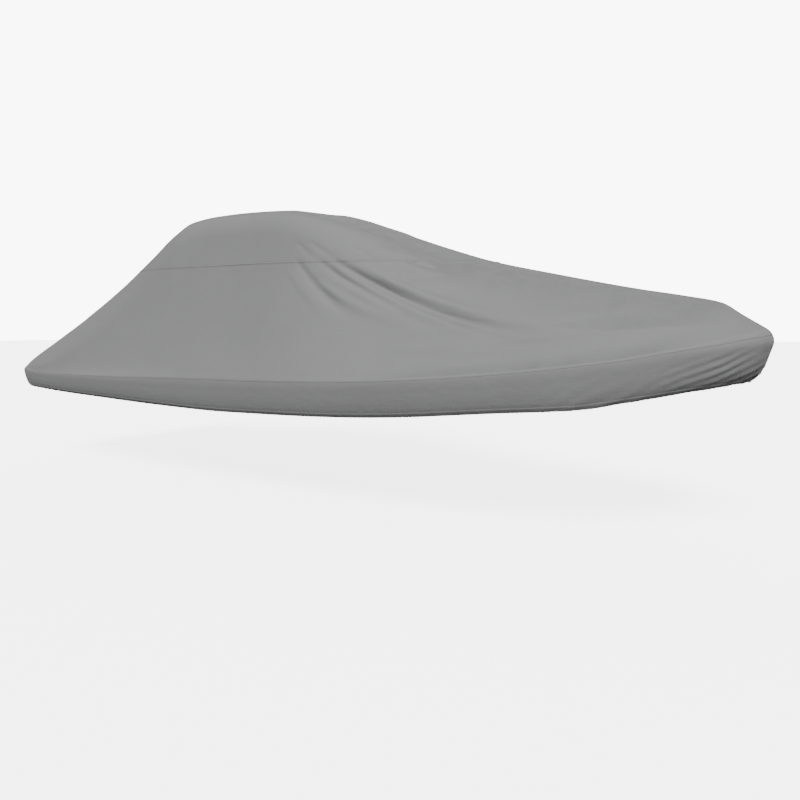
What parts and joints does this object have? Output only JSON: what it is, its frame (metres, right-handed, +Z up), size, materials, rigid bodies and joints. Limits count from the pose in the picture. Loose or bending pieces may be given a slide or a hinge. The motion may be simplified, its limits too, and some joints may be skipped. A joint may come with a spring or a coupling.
{
  "type": "boat cover",
  "caption": "Fitted fabric boat cover with a raised middle, a sloping foredeck and a skirt gathered at the hem, hollow underneath.",
  "frame": {"origin": "the place under the top of the raised middle where the boat holds the cover up, on the centreline at the cloth's underside", "axes": "+X towards the bow, +Y to port, +Z up"},
  "size_m": [8.3, 2.46, 2.0199],
  "materials": {
    "cap_cloth": "matt woven polyester, mid grey",
    "deck_cloth": "matt woven polyester, mid grey",
    "skirt_cloth": "matt woven polyester, mid grey"
  },
  "bodies": {
    "root": {"cap_panel": "cap_cloth", "deck_panel_starboard": "deck_cloth", "deck_panel_port": "deck_cloth", "skirt_starboard": "skirt_cloth", "skirt_port": "skirt_cloth"}
  },
  "joints": []
}
